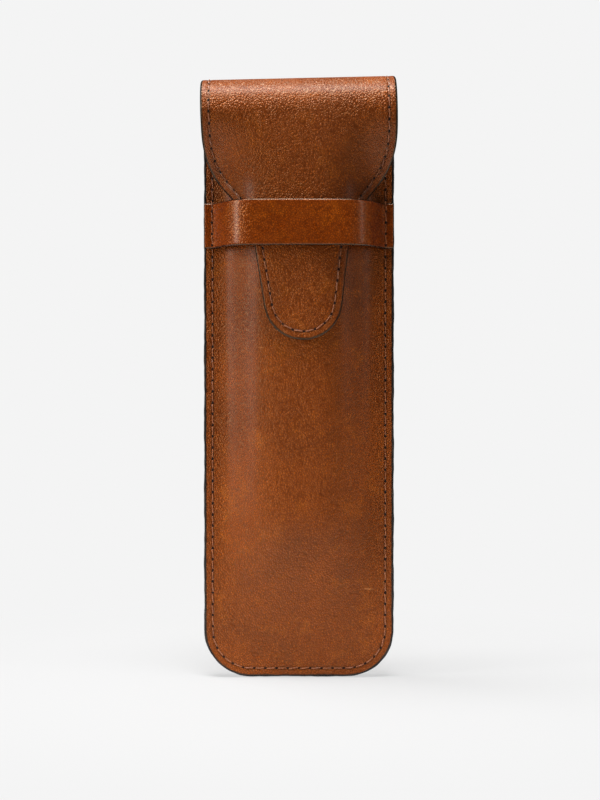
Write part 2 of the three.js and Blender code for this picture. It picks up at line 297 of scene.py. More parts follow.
seamSizes = {  # saddle stitching, in millimetres
    "inset": 2.4,
    "pitch": 3.25,
    "grooveWidth": 0.42,
    "grooveDepth": 0.16,
    "thread": 0.36,
    "threadRise": 0.18,
    "hole": 0.43,
    "holeDepth": 0.1,
    "gap": 0.85,  # between one stitch and the next
    "lean": 0.07,  # of a stitch off the line of the seam, in radians
}


# distances from an edge of a column or row, which follow its rounding and its stitches
marginSteps = [0, 0.05, 0.14, 0.28, 0.5, 0.8, 1.15, 1.5, 1.8, 2.0, 2.2, 2.4, 2.6, 2.8, 3.0, 3.4]
marginWidth = marginSteps[-1]


def gridAcross(half, columns):  # positions from -half to half for each row
    margin = np.array(marginSteps)
    scale = np.minimum(1, half / 5.0)[:, None]
    left = -half[:, None] + margin[None, :] * scale
    inside = np.linspace(-1, 1, columns + 2)[1:-1]
    middle = inside[None, :] * (half - marginWidth * scale[:, 0])[:, None]
    return np.concatenate([left, middle, -left[:, ::-1]], 1)


def meshFrom(name, points, faces, attributes=()):
    mesh = bpy.data.meshes.new(name)
    mesh.from_pydata((points * mm).tolist(), [], faces)
    for key, values in attributes:
        layer = mesh.attributes.new(key, "FLOAT", "POINT")
        layer.data.foreach_set("value", np.asarray(values, np.float32))
    mesh.shade_smooth()
    mesh.set_sharp_from_angle(angle=math.radians(60))
    made = bpy.data.objects.new(name, mesh)
    bpy.context.scene.collection.objects.link(made)
    return made


def gridFaces(rows, columns, offset, flip):
    r, c = np.meshgrid(np.arange(rows - 1), np.arange(columns - 1), indexing="ij")
    a = (r * columns + c).ravel() + offset
    quads = np.stack([a, a + 1, a + columns + 1, a + columns], -1)
    return (quads[:, ::-1] if flip else quads).tolist()


def rimFaces(rows, columns, under):
    top = [c for c in range(columns)]
    right = [r * columns + columns - 1 for r in range(1, rows)]
    far = [(rows - 1) * columns + c for c in range(columns - 2, -1, -1)]
    left = [r * columns for r in range(rows - 2, 0, -1)]
    loop = top + right + far + left
    onward = loop[1:] + loop[:1]
    return [[a, a + under, b + under, b] for a, b in zip(loop, onward)]


def sheet(name, outlineRows, columns, surface, top, bottom, edge, settings):
    half, along = outlineRows[:, 0], outlineRows[:, 1]
    across = gridAcross(half, columns)
    run = np.repeat(along[:, None], across.shape[1], 1)
    run = run + settings.get("bow", lambda a, b: 0)(across, run)
    away = edge(across, run)
    bend = settings.get("bend", caseSizes["bend"])
    inside = np.clip(away, 0, bend)
    rounding = bend - np.sqrt(np.maximum(bend**2 - (bend - inside)**2, 0))
    channel = (away - seamSizes["inset"]) / seamSizes["grooveWidth"]
    groove = seamSizes["grooveDepth"] * np.exp(-(channel**2))
    if not settings.get("sewn", True):
        groove = 0 * groove
    point, normal = surface(across, run)
    thickness = bottom - top
    upper = point - normal * (top + np.minimum(rounding, thickness * 0.48) + groove)[..., None]
    lower = point - normal * (bottom - np.minimum(rounding, thickness * 0.3))[..., None]
    rows, cols = across.shape
    under = rows * cols
    faces = gridFaces(rows, cols, 0, False) + gridFaces(rows, cols, under, True)
    faces += rimFaces(rows, cols, under)
    points = np.concatenate([upper.reshape(-1, 3), lower.reshape(-1, 3)])
    return meshFrom(name, points, faces, [("edgeAway", np.tile(away.ravel(), 2))])


# finishes

def addNode(tree, kind, settings=None, values=None):
    node = tree.nodes.new(kind)
    for key, value in (settings or {}).items():
        setattr(node, key, value)
    for key, value in (values or {}).items():
        source = value.socket if isinstance(value, Signal) else value
        if isinstance(source, bpy.types.NodeSocket):
            tree.links.new(source, node.inputs[key])
        else:
            node.inputs[key].default_value = source
    return node


class Signal:  # a socket that takes part in sums
    def __init__(self, tree, socket):
        self.tree = tree
        self.socket = socket

    def sum(self, operation, *others):
        values = dict(enumerate((self, *others)))
        node = addNode(self.tree, "ShaderNodeMath", {"operation": operation}, values)
        return Signal(self.tree, node.outputs[0])

    def __add__(self, other):
        return self.sum("ADD", other)

    def __radd__(self, other):
        return self.sum("ADD", other)

    def __sub__(self, other):
        return self.sum("SUBTRACT", other)

    def __rsub__(self, other):
        return (self * -1).sum("ADD", other)

    def __mul__(self, other):
        return self.sum("MULTIPLY", other)

    def __rmul__(self, other):
        return self.sum("MULTIPLY", other)

    def above(self, low, high):  # 0 under low, 1 over high
        node = addNode(self.tree, "ShaderNodeMapRange", {"interpolation_type": "SMOOTHSTEP"},
                       {"Value": self, "From Min": low, "From Max": high})
        return Signal(self.tree, node.outputs["Result"])

    def below(self, low, high):
        return 1 - self.above(low, high)


class Finish:  # the node tree of a material or a world
    def __init__(self, owner, ending="ShaderNodeOutputMaterial"):
        self.owner = owner
        owner.use_nodes = True
        self.tree = owner.node_tree
        self.tree.nodes.clear()
        self.output = self.tree.nodes.new(ending)

    def add(self, kind, settings=None, values=None, out=0):
        return Signal(self.tree, addNode(self.tree, kind, settings, values).outputs[out])

    def place(self, scale=(1, 1, 1), turn=(0, 0, 0), shift=(0, 0, 0)):  # object coordinates in millimetres
        here = self.add("ShaderNodeTexCoord", out="Object")
        factor = tuple(v / mm for v in scale)
        return self.add("ShaderNodeMapping", {}, {"Vector": here, "Scale": factor, "Rotation": turn,
                                                  "Location": shift})

    def noise(self, size, detail=2, rough=0.5, where=None, warp=0.0):
        values = {"Scale": 1 / size, "Detail": detail, "Roughness": rough, "Distortion": warp,
                  "Vector": where or self.place()}
        return self.add("ShaderNodeTexNoise", {}, values, out="Fac")

    def cells(self, size, feature, where):
        values = {"Scale": 1 / size, "Randomness": 1.0, "Vector": where}
        return self.add("ShaderNodeTexVoronoi", {"feature": feature}, values, out="Distance")

    def attribute(self, name):
        return self.add("ShaderNodeAttribute", {"attribute_name": name}, out="Fac")

    def mix(self, factor, a, b):
        colours = [v if isinstance(v, Signal) else (*v, 1) for v in (a, b)]
        values = {0: factor, 6: colours[0], 7: colours[1]}
        return self.add("ShaderNodeMix", {"data_type": "RGBA"}, values, out=2)

    def bump(self, height, strength, depth, under=None):
        values = {"Height": height, "Strength": strength, "Distance": depth * mm}
        if under:
            values["Normal"] = under
        return self.add("ShaderNodeBump", {}, values)

    def surface(self, **values):
        named = {key.replace("_", " "): value for key, value in values.items()}
        shader = self.add("ShaderNodeBsdfPrincipled", {}, named)
        self.tree.links.new(shader.socket, self.output.inputs["Surface"])
        return self.owner


def linear(*srgb):
    return tuple(v / 12.92 if v <= 0.04045 else ((v + 0.055) / 1.055) ** 2.4 for v in srgb)


leatherLook = {
    "tan": linear(0.525, 0.226, 0.004),
    "deep": linear(0.42, 0.168, 0.006),
    "orange": linear(0.655, 0.330, 0.035),
    # dark pores, and also the painted shade in the grain's creases and in the stitch channel
    "poreAndShade": linear(0.20, 0.08, 0.03),
    "edge": linear(0.065, 0.060, 0.052),
    "scuff": linear(0.72, 0.47, 0.27),
    "grain": 0.54,  # size of the pebble in millimetres
    "roughness": 0.41,
    "coat": 0.08,
    "sheen": (1.0, 0.54, 0.22),  # the wax takes the hide's colour
}


def saddleLeather(name, grainDepth=0.24, edgePaint=0.8, sewn=True, gloss=0.0):
    look = leatherLook
    f = Finish(bpy.data.materials.new(name))
    edge = f.attribute("edgeAway")
    blotches = f.noise(26, 3, 0.55, warp=0.4)
    mottle = f.noise(6.5, 4, 0.6, f.place(shift=(3, 1, 7)), warp=0.6)
    fine = f.noise(1.4, 3, 0.65)
    colour = f.mix(blotches.above(0.34, 0.64) * 0.65 + 0.35, look["deep"], look["tan"])
    colour = f.mix(mottle.above(0.5, 0.78) * 0.6, colour, look["orange"])
    colour = f.mix(mottle.below(0.28, 0.46) * 0.4, colour, look["deep"])
    colour = f.mix(fine.above(0.48, 0.75) * 0.25, colour, look["orange"])
    pebble = f.cells(look["grain"], "SMOOTH_F1", f.place(scale=(1, 1, 0.8), turn=(0.3, 0.5, 0.6)))
    crease = f.cells(look["grain"], "DISTANCE_TO_EDGE", f.place(scale=(1, 1, 0.8), turn=(0.3, 0.5, 0.6)))
    # grain creases darker and pebble crowns lighter: partly the grain's own tone, partly painted shade in the
    # creases and painted light on the crowns
    colour = f.mix(crease.below(0.03, 0.24) * 0.6, colour, look["poreAndShade"])
    colour = f.mix(crease.above(0.22, 0.42) * 0.2, colour, look["orange"])
    pores = f.noise(0.38, 1, 0.5)
    colour = f.mix(pores.above(0.66, 0.78) * 0.45, colour, look["poreAndShade"])
    scratchWay = f.place(scale=(0.9, 0.4, 0.045), turn=(0, 0.35, 0))
    scratches = f.noise(0.55, 2, 0.5, scratchWay).above(0.70, 0.74) * f.noise(11, 1).above(0.52, 0.62)
    crossWay = f.place(scale=(0.05, 0.4, 0.9), turn=(0, -0.5, 0), shift=(5, 2, 9))
    crossed = f.noise(0.6, 2, 0.5, crossWay).above(0.71, 0.75)
    crossed = crossed * f.noise(13, 1, 0.5, f.place(shift=(8, 8, 8))).above(0.5, 0.6)
    marks = scratches.sum("MAXIMUM", crossed)
    colour = f.mix(marks * 0.45, colour, look["scuff"])
    if sewn:
        # the stitch channel is darkened: partly the pressed groove's own darker line, partly painted shade in
        # the groove
        channel = (edge - seamSizes["inset"]).sum("ABSOLUTE").below(0.15, 0.75)
        colour = f.mix(channel * 0.45, colour, look["poreAndShade"])
    near = edge + (fine - 0.5) * 0.5 + (mottle - 0.5) * 0.3
    colour = f.mix(near.below(edgePaint + 0.2, edgePaint + 1.7) * 0.4, colour, look["deep"])
    paint = near.below(edgePaint * 0.55, edgePaint)
    colour = f.mix(paint, colour, look["edge"])
    rough = look["roughness"] - gloss + (blotches - 0.5) * 0.22 + (fine - 0.5) * 0.22
    rough = rough + marks * 0.2 - paint * 0.04
    height = fine * 0.25 + crease.above(0, 0.35) * 0.35 - pebble * 0.8
    swell = f.bump(f.noise(9, 2, 0.5) + mottle * 0.35, 0.55, 0.55)
    normal = f.bump(height * (1 - paint * 0.7), 1.0, grainDepth, swell)
    normal = f.bump(marks * -1, 0.6, 0.03, normal)
    return f.surface(Base_Color=colour, Roughness=rough, Normal=normal, Coat_Weight=look["coat"] + gloss,
                     Coat_Roughness=0.28, Specular_IOR_Level=0.5, Specular_Tint=(*look["sheen"], 1),
                     Coat_Tint=(*look["sheen"], 1))


def edgePaintFinish():
    f = Finish(bpy.data.materials.new("edge_paint"))
    patches = f.noise(5, 3, 0.6)
    fine = f.noise(0.5, 3, 0.6)
    layers = f.add("ShaderNodeTexWave", {"wave_type": "BANDS", "bands_direction": "Y"},
                   {"Scale": 0.32, "Distortion": 1.6, "Detail": 2, "Vector": f.place()}, out="Fac")
    colour = f.mix(patches.above(0.4, 0.7), leatherLook["edge"], linear(0.17, 0.13, 0.10))
    colour = f.mix(fine.above(0.68, 0.8) * 0.5, colour, leatherLook["deep"])
    normal = f.bump(fine + layers * 0.8, 0.8, 0.06)
    return f.surface(Base_Color=colour, Roughness=0.46 + fine * 0.2, Normal=normal, Specular_IOR_Level=0.25)


def suedeFinish():
    f = Finish(bpy.data.materials.new("suede_lining"))
    nap = f.noise(1.1, 4, 0.7, warp=1.2)
    fine = f.noise(0.22, 2, 0.6)
    strokes = f.noise(8, 3, 0.55, f.place(scale=(1, 1, 0.3)), warp=0.8)
    colour = f.mix(nap.above(0.3, 0.7), linear(0.30, 0.165, 0.075), linear(0.45, 0.275, 0.145))
    colour = f.mix(strokes.above(0.45, 0.65) * 0.4, colour, linear(0.52, 0.335, 0.19))
    paint = f.attribute("edgeAway").below(0.2, 0.45)
    colour = f.mix(paint, colour, leatherLook["edge"])
    normal = f.bump(nap * 0.6 + fine * 0.7, 0.9, 0.12)
    return f.surface(Base_Color=colour, Roughness=0.92 - paint * 0.3, Normal=normal, Sheen_Weight=0.12,
                     Sheen_Roughness=0.5, Specular_IOR_Level=0.2)


def boardFinish():
    f = Finish(bpy.data.materials.new("pressed_fibreboard"))
    fibres = f.noise(0.5, 4, 0.7, f.place(scale=(1, 1, 0.35)), warp=0.6)
    flecks = f.noise(2.2, 3, 0.6)
    colour = f.mix(fibres.above(0.3, 0.75), linear(0.46, 0.38, 0.28), linear(0.62, 0.53, 0.41))
    colour = f.mix(flecks.above(0.62, 0.72) * 0.6, colour, linear(0.33, 0.26, 0.19))
    return f.surface(Base_Color=colour, Roughness=0.85, Normal=f.bump(fibres, 0.7, 0.05))


def threadFinish():
    f = Finish(bpy.data.materials.new("waxed_thread"))
    strands = f.noise(0.13, 2, 0.5, f.place(scale=(1, 1, 0.5), turn=(0.5, 0.5, 0.3)))
    colour = f.mix(strands.above(0.35, 0.65), linear(0.38, 0.18, 0.06), linear(0.66, 0.38, 0.19))
    return f.surface(Base_Color=colour, Roughness=0.5, Normal=f.bump(strands, 0.8, 0.05), Coat_Weight=0.2)


# painted shade: near-black discs at the needle holes stand in for the shade inside the holes, their tone
# varied a little by noise
def holeShadeFinish():
    f = Finish(bpy.data.materials.new("needle_holes"))
    holeShadeNoise = f.noise(0.4, 2)
    colour = f.mix(holeShadeNoise.above(0.3, 0.7), linear(0.085, 0.045, 0.025), linear(0.14, 0.075, 0.04))
    return f.surface(Base_Color=colour, Roughness=0.75, Normal=f.bump(holeShadeNoise, 0.5, 0.03),
                     Specular_IOR_Level=0.15)


print("mixing the finishes")
panelLeather = saddleLeather("saddle_leather_body")
coverLeather = saddleLeather("saddle_leather_cover")
strapLeather = saddleLeather("saddle_leather_strap", grainDepth=0.12, edgePaint=0.4, sewn=False, gloss=0.12)
edgeCoatFinish = edgePaintFinish()
suede = suedeFinish()
fibreboard = boardFinish()
waxedThread = threadFinish()
needleHoleShade = holeShadeFinish()


def dress(piece, material, slotName, body, *nodes):
    piece.data.materials.clear()
    piece.data.materials.append(material)
    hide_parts(*nodes)
    if body:
        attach(piece, body)
    return piece


# body

print("moulding the front panel")
meshFineness = {"bulgeColumns": 56, "flatColumns": 24, "coverColumns": 40, "row": 0.9}


def crowded(start, away):
    return [start + away * step for step in marginSteps]


def rowsAt(outline, positions):
    return np.stack([np.interp(positions, outline[:, 1], outline[:, 0]), positions], -1)


panelEdge = panelOutline()
panelRun = panelEdge[1:]
steps = sorted(set(np.round(crowded(0, 1) + list(np.arange(4, mouthHeight - 3.6, meshFineness["row"]))
                            + crowded(mouthHeight, -1), 4)))
panelRows = rowsAt(panelRun, np.array(steps))
panelRows[:, 0] = bodyHalf(panelRows[:, 1])


def scoop(across, run):  # the mouth dips in the middle
    share = smoothStep((run - strapTop) / (mouthHeight - strapTop))
    inside = np.clip(np.abs(across) / (halfWidth - bulgeShape["flange"]), 0, 1)
    return -caseSizes["mouthScoop"] * share * (0.5 + 0.5 * np.cos(math.pi * inside))


mouthLine = np.stack([np.linspace(-halfWidth, halfWidth, 60), np.full(60, mouthHeight)], -1)
mouthLine[:, 1] += scoop(mouthLine[:, 0], mouthLine[:, 1])
leftHalf = panelEdge[1:-1] * [-1, 1]
panelLoop = np.concatenate([mouthLine, panelEdge[::-1][1:], leftHalf, mouthLine[:1]])


def panelAway(x, z):
    return distanceTo(panelLoop, x, z)


frontPanel = sheet("front_panel_leather", panelRows, meshFineness["bulgeColumns"], panelSurface, 0.0,
                   caseSizes["leather"], panelAway, {"bow": scoop})
dress(frontPanel, panelLeather, "saddle_leather", "case", "front_panel")
frontLining = sheet("front_panel_suede", panelRows, 30, panelSurface, caseSizes["leather"], coverStack,
                    panelAway, {"bow": scoop, "sewn": False, "bend": 0.2})
dress(frontLining, suede, "suede", "case", "front_lining")


# cover: the back half runs from the bottom up to the middle of the fold, the front half from there over the
# fold and down the flap

print("cutting the cover")
backEdge = backOutline()
backSteps = sorted(set(np.round(crowded(0, 1) + list(np.arange(4, foldStart - 2, 1.6))
                                + list(np.linspace(foldStart - 2, foldStart + foldLength / 2, 34)), 4)))
backRows = rowsAt(backEdge, np.array(backSteps))
belowTop = backRows[:, 1] < foldStart - caseSizes["widening"]
backRows[belowTop, 0] = bodyHalf(backRows[belowTop, 1])
backLoop = np.concatenate([(backEdge * [-1, 1])[::-1], backEdge])


def backAway(across, along):
    return distanceTo(backLoop, across, along)


frontEdge = coverOutline()
frontLoop = np.concatenate([frontEdge, (frontEdge * [-1, 1])[::-1]])


def frontAway(across, along):
    return distanceTo(frontLoop, across, along)


tipAlong = frontEdge[-1, 1]
foldEnd = foldStart + foldLength
tipReach = 12  # the rows are finer over this length of the tip
frontSteps = sorted(set(np.round(
    list(np.linspace(frontEdge[0, 1], foldEnd, 30))
    + list(np.arange(foldEnd + 0.8, tipAlong - tipReach, meshFineness["row"]))
    + list(tipAlong - tipReach * (np.linspace(1, 0, 44) ** 1.8)), 4)))
frontRows = rowsAt(frontEdge, np.array(frontSteps))
foldTop = (0, (backFace - foldRadius) * mm, (foldStart + foldRadius) * mm)
fold = {
    "back": ((0, backFace * mm, foldStart * mm), foldTop),
    "front": (foldTop, (0, (backFace - 2 * foldRadius) * mm, foldStart * mm)),
}


def bendBack(piece):
    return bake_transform(piece)


def bendFront(piece):
    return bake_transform(piece)


backCover = sheet("cover_back_leather", backRows, meshFineness["flatColumns"], coverSurface, 0.0,
                  caseSizes["leather"], backAway, {})
dress(backCover, coverLeather, "saddle_leather", None, "back_panel", "crown_leather")
frontCover = sheet("cover_flap_leather", frontRows, meshFineness["coverColumns"], coverSurface, 0.0,
                   caseSizes["leather"], frontAway, {})
dress(frontCover, coverLeather, "saddle_leather", None, "flap_leather", "tongue_leather")


def sunkBack(across, along):  # the back lining dives under the board, and closes up above it
    point, normal = coverSurface(across, along)
    boardTop = boxOf("back_board")[1][2]
    over = 1 - smoothStep((along - boardTop) / 8)
    return point - normal * (0.9 * over)[..., None], normal


backLining = sheet("cover_back_suede", backRows, 16, sunkBack, caseSizes["leather"], coverStack, backAway,
                   {"sewn": False, "bend": 0.2})
dress(backLining, suede, "suede", None, "back_lining", "crown_lining")
frontLiningCover = sheet("cover_flap_suede", frontRows, 26, coverSurface, caseSizes["leather"], coverStack,
                         frontAway, {"sewn": False, "bend": 0.2})
dress(frontLiningCover, suede, "suede", None, "flap_lining", "tongue_lining")
for piece in (backCover, backLining):
    bendBack(piece)
for piece in (frontCover, frontLiningCover):
    bendFront(piece)

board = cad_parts["back_board"]
board.data.materials.clear()
board.data.materials.append(fibreboard)


# keeper strap

print("drawing the strap across")
strapReach = halfWidth + 0.05
strapSteps = crowded(strapBottom, 1)[:12] + crowded(strapTop, -1)[:12]
strapSteps += list(np.arange(strapBottom + 2, strapTop - 1.9, 0.6))
strapSteps = np.unique(np.round(strapSteps, 3))
strapRows = np.stack([np.full(len(strapSteps), strapReach), strapSteps], -1)


def strapAway(x, z):
    ends = np.minimum(strapReach - np.abs(x), 9)
    return np.minimum(np.minimum(z - strapBottom, strapTop - z), ends)


keeperStrap = sheet("keeper_strap_leather", strapRows, 90, strapSurface, 0.0,
                    caseSizes["strapLeather"], strapAway, {"sewn": False, "bend": 0.6})
dress(keeperStrap, strapLeather, "saddle_leather", "case", "keeper_strap")


# painted edge round the sewn layers

print("painting the edges")
edgeCoatSizes = {  # millimetres
    "over": 0.42,  # reaches in over the leather
    "proud": 0.16,
    "ripple": 0.05,  # shows the layers through the paint
    "layer": 1.3,
    "taper": 2.2,
    "step": 0.9,
    "sides": 22,  # points round half its section
    "squareness": 0.35,  # the lower, the squarer the section
}


def edgeCoat():
    s = edgeCoatSizes
    path = np.concatenate([(panelRun * [-1, 1])[::-1], panelRun])
    path = resample(path, s["step"])
    tangent = np.gradient(path, axis=0)
    tangent /= np.linalg.norm(tangent, axis=1, keepdims=True)
    outward = np.stack([tangent[:, 1], -tangent[:, 0]], -1)
    run = lengths(path)
    points, away = [], []
    count = s["sides"]
    for at, out, r in zip(path, outward, run):
        ends = min(r, run[-1] - r)
        front = frontFace + (1 - smoothStep(ends / s["taper"])) * (backFace - frontFace - coverStack)
        middle, reach = (front + backFace) / 2, (backFace - front) / 2 + 0.03
        for k in range(count):
            angle = -math.pi / 2 + math.pi * k / (count - 1)
            y = middle + reach * math.sin(angle)
            bow = abs(math.cos(angle)) ** s["squareness"]
            layers = s["ripple"] * math.cos(2 * math.pi * (y - frontFace) / s["layer"] + 0.8)
            wavy = 0.07 * math.sin(r * 0.31 + 1) + 0.04 * math.sin(r * 0.83 + y)
            wavy += 0.03 * math.sin(r * 1.7 + y)
            d = -s["over"] + (s["over"] + s["proud"] + layers * bow + wavy) * bow
            points.append((at[0] + out[0] * d, y, at[1] + out[1] * d))
        for k in range(count - 2, 0, -1):  # the hidden inner side
            angle = -math.pi / 2 + math.pi * k / (count - 1)
            y = middle + (reach - 0.25) * math.sin(angle)
            points.append((at[0] - out[0] * (s["over"] + 0.2), y, at[1] - out[1] * (s["over"] + 0.2)))
    ring = 2 * count - 2
    faces = []
    for i in range(len(path) - 1):
        for k in range(ring):
            a, b = i * ring + k, i * ring + (k + 1) % ring
            faces.append([a, b, b + ring, a + ring])
    faces.append(list(range(ring))[::-1])
    faces.append([(len(path) - 1) * ring + k for k in range(ring)])
    coat = meshFrom("edge_coat", np.array(points), faces)
    coat.data.materials.append(edgeCoatFinish)
    return coat


coat = edgeCoat()
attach(coat, "case")


# saddle stitching: stitches, and dark discs of painted shade at the needle holes, are set on points that
# carry their direction

print("sewing")


def stitchTree(name, kind):
    tree = bpy.data.node_groups.new(name, "GeometryNodeTree")
    face = tree.interface
    face.new_socket(name="Geometry", in_out="INPUT", socket_type="NodeSocketGeometry")
    for label, value in (("Length", 2.6 * mm), ("Width", 0.4 * mm), ("Rise", 0.25 * mm), ("Lean", 0.05)):
        socket = face.new_socket(name=label, in_out="INPUT", socket_type="NodeSocketFloat")
        socket.default_value = value
    socket = face.new_socket(name="Seed", in_out="INPUT", socket_type="NodeSocketInt")
    socket.default_value = 4
    face.new_socket(name="Finish", in_out="INPUT", socket_type="NodeSocketMaterial")
    face.new_socket(name="Geometry", in_out="OUTPUT", socket_type="NodeSocketGeometry")
    nodes, links = tree.nodes, tree.links
    start, end = nodes.new("NodeGroupInput"), nodes.new("NodeGroupOutput")

    def add(node, settings, values):
        return addNode(tree, node, settings, values)

    def sized(label, factor):
        values = {0: start.outputs[label], 1: factor}
        return add("ShaderNodeMath", {"operation": "MULTIPLY"}, values).outputs[0]

    if kind == "stitch":
        near = add("ShaderNodeCombineXYZ", {}, {"X": sized("Length", -0.5), "Z": sized("Rise", -0.8)})
        high = add("ShaderNodeCombineXYZ", {}, {"Z": sized("Rise", 1.9)})
        far = add("ShaderNodeCombineXYZ", {}, {"X": sized("Length", 0.5), "Z": sized("Rise", -0.8)})
        arch = add("GeometryNodeCurveQuadraticBezier", {}, {"Resolution": 7, "Start": near.outputs[0],
                                                            "Middle": high.outputs[0], "End": far.outputs[0]})
        ring = add("GeometryNodeCurvePrimitiveCircle", {}, {"Resolution": 6, "Radius": sized("Width", 0.5)})
        body = add("GeometryNodeCurveToMesh", {}, {"Curve": arch.outputs[0], "Profile Curve": ring.outputs[0],
                                                   "Fill Caps": True}).outputs[0]
    else:
        ball = add("GeometryNodeMeshUVSphere", {}, {"Segments": 8, "Rings": 4, "Radius": 1.0})
        size = add("ShaderNodeCombineXYZ", {}, {"X": sized("Width", 0.5), "Y": sized("Width", 0.5),
                                                "Z": start.outputs["Rise"]})
        body = add("GeometryNodeTransform", {},
                   {"Geometry": ball.outputs[0], "Scale": size.outputs[0]}).outputs[0]
    smooth = add("GeometryNodeSetShadeSmooth", {}, {"Geometry": body})
    along = add("GeometryNodeInputNamedAttribute", {"data_type": "FLOAT_VECTOR"}, {"Name": "alongSeam"})
    out = add("GeometryNodeInputNamedAttribute", {"data_type": "FLOAT_VECTOR"}, {"Name": "outOfLeather"})
    facingOut = add("FunctionNodeAlignRotationToVector", {"axis": "Z"}, {"Vector": out.outputs[0]})
    aimed = add("FunctionNodeAlignRotationToVector", {"axis": "X", "pivot_axis": "Z"},
                {"Rotation": facingOut.outputs[0], "Vector": along.outputs[0]})
    jitter = add("FunctionNodeRandomValue", {"data_type": "FLOAT"},
                 {2: -0.06, 3: 0.06, "Seed": start.outputs["Seed"]})
    leaning = add("ShaderNodeMath", {"operation": "ADD"}, {0: jitter.outputs[1], 1: start.outputs["Lean"]})
    turn = add("ShaderNodeCombineXYZ", {}, {"Z": leaning.outputs[0]})
    turned = add("FunctionNodeRotateRotation", {"rotation_space": "LOCAL"},
                 {"Rotation": aimed.outputs[0], "Rotate By": turn.outputs[0]})
    size = add("FunctionNodeRandomValue", {"data_type": "FLOAT"},
               {2: 0.9, 3: 1.08, "Seed": start.outputs["Seed"]})
    placed = add("GeometryNodeInstanceOnPoints", {}, {"Points": start.outputs["Geometry"],
                                                    "Instance": smooth.outputs[0],
                                                    "Rotation": turned.outputs[0], "Scale": size.outputs[1]})
    real = add("GeometryNodeRealizeInstances", {}, {"Geometry": placed.outputs[0]})
    done = add("GeometryNodeSetMaterial", {},
               {"Geometry": real.outputs[0], "Material": start.outputs["Finish"]})
    links.new(done.outputs[0], end.inputs[0])
    return tree


stitchNodes = stitchTree("saddleStitch", "stitch")
# places the discs of painted shade at the needle holes
holeNodes = stitchTree("needleHoleShade", "hole")


def sewnAlong(name, tree, points, along, out, settings, material):
    mesh = bpy.data.meshes.new(name + "_marks")
    mesh.from_pydata((points * mm).tolist(), [], [])
    for key, values in (("alongSeam", along), ("outOfLeather", out)):
        layer = mesh.attributes.new(key, "FLOAT_VECTOR", "POINT")
        layer.data.foreach_set("vector", np.asarray(values, np.float32).ravel())
    marks = bpy.data.objects.new(name + "_marks", mesh)
    bpy.context.scene.collection.objects.link(marks)
    modifier = marks.modifiers.new("sewing", "NODES")
    modifier.node_group = tree
    for item in tree.interface.items_tree:
        if item.in_out == "INPUT" and item.name in settings:
            modifier[item.identifier] = settings[item.name]
        if item.in_out == "INPUT" and item.name == "Finish":
            modifier[item.identifier] = material
    bpy.context.view_layer.update()
    graph = bpy.context.evaluated_depsgraph_get()
    sewn = bpy.data.meshes.new_from_object(marks.evaluated_get(graph))
    piece = bpy.data.objects.new(name, sewn)
    bpy.context.scene.collection.objects.link(piece)
    bpy.data.objects.remove(marks)
    return piece


def seamMarks(path, surface, spacing):  # stitches between needle holes, along a path on the leather
    holes = resample(path, spacing=spacing)
    centres = (holes[1:] + holes[:-1]) / 2
    middle, normal = surface(centres[:, 0], centres[:, 1])
    hole, holeNormal = surface(holes[:, 0], holes[:, 1])
    along = hole[1:] - hole[:-1]
    long = np.linalg.norm(along, axis=1, keepdims=True)
    holeAlong = np.gradient(hole, axis=0)
    return {"middle": middle, "normal": normal, "along": along / long, "hole": hole, "holeNormal": holeNormal,
            "holeAlong": holeAlong / np.linalg.norm(holeAlong, axis=1, keepdims=True)}


def joined(marks):
    return {key: np.concatenate([m[key] for m in marks]) for key in marks[0]}


def sew(name, marks, seed):
    s = seamSizes
    sink = s["grooveDepth"]
    lying = marks["middle"] + marks["normal"] * (s["threadRise"] * 0.35 - sink)
    stitches = sewnAlong(name, stitchNodes, lying, marks["along"], marks["normal"],
                         {"Length": (s["pitch"] - s["gap"]) * mm, "Width": s["thread"] * mm,
                          "Rise": s["threadRise"] * mm, "Lean": s["lean"], "Seed": seed}, waxedThread)
    # the discs of painted shade go in the groove at each needle hole
    pierced = marks["hole"] - marks["holeNormal"] * (sink - 0.02)
    holes = sewnAlong(name + "_holes", holeNodes, pierced, marks["holeAlong"], marks["holeNormal"],
                      {"Width": 2 * s["hole"] * mm, "Rise": s["holeDepth"] * mm, "Lean": 0.0,
                       "Seed": seed + 1}, needleHoleShade)
    return stitches, holes


def insetLine(outline, inset):
    tangent = np.gradient(outline, axis=0)
    tangent /= np.linalg.norm(tangent, axis=1, keepdims=True)
    return outline + inset * np.stack([-tangent[:, 1], tangent[:, 0]], -1)


def seamU(inset):  # down one side, round the bottom and up the other
    corner = caseSizes["cornerRadius"]
    side, radius = halfWidth - inset, corner - inset
    angles = np.linspace(0, math.pi / 2, 40)
    bend = np.stack([halfWidth - corner + radius * np.sin(angles), corner - radius * np.cos(angles)], -1)
    half = np.concatenate([bend, [(side, mouthHeight - 1.2)]])
    return np.concatenate([(half * [-1, 1])[::-1], half])


def bodyFront(x, z):  # the side seams climb over the ends of the strap
    plain, plainNormal = panelSurface(x, z)
    over, overNormal = strapSurface(x, z)
    on = ((z > strapBottom) & (z < strapTop))[..., None]
    lifted = over + overNormal * seamSizes["grooveDepth"]
    return np.where(on, lifted, plain), np.where(on, overNormal, plainNormal)


frontMarks = seamMarks(seamU(seamSizes["inset"]), bodyFront, seamSizes["pitch"])
reach = halfWidth - 2 * seamSizes["inset"] - 0.6
mouthX = np.linspace(-reach, reach, 60)
mouthZ = np.full(60, mouthHeight - seamSizes["inset"])
mouthSeam = np.stack([mouthX, mouthZ + scoop(mouthX, mouthZ)], -1)
mouthMarks = seamMarks(mouthSeam, panelSurface, seamSizes["pitch"])
stitches, holes = sew("front_seam_stitches", joined([frontMarks, mouthMarks]), 11)
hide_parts("front_seam_thread", "mouth_thread")
for piece in (stitches, holes):
    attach(piece, "case")

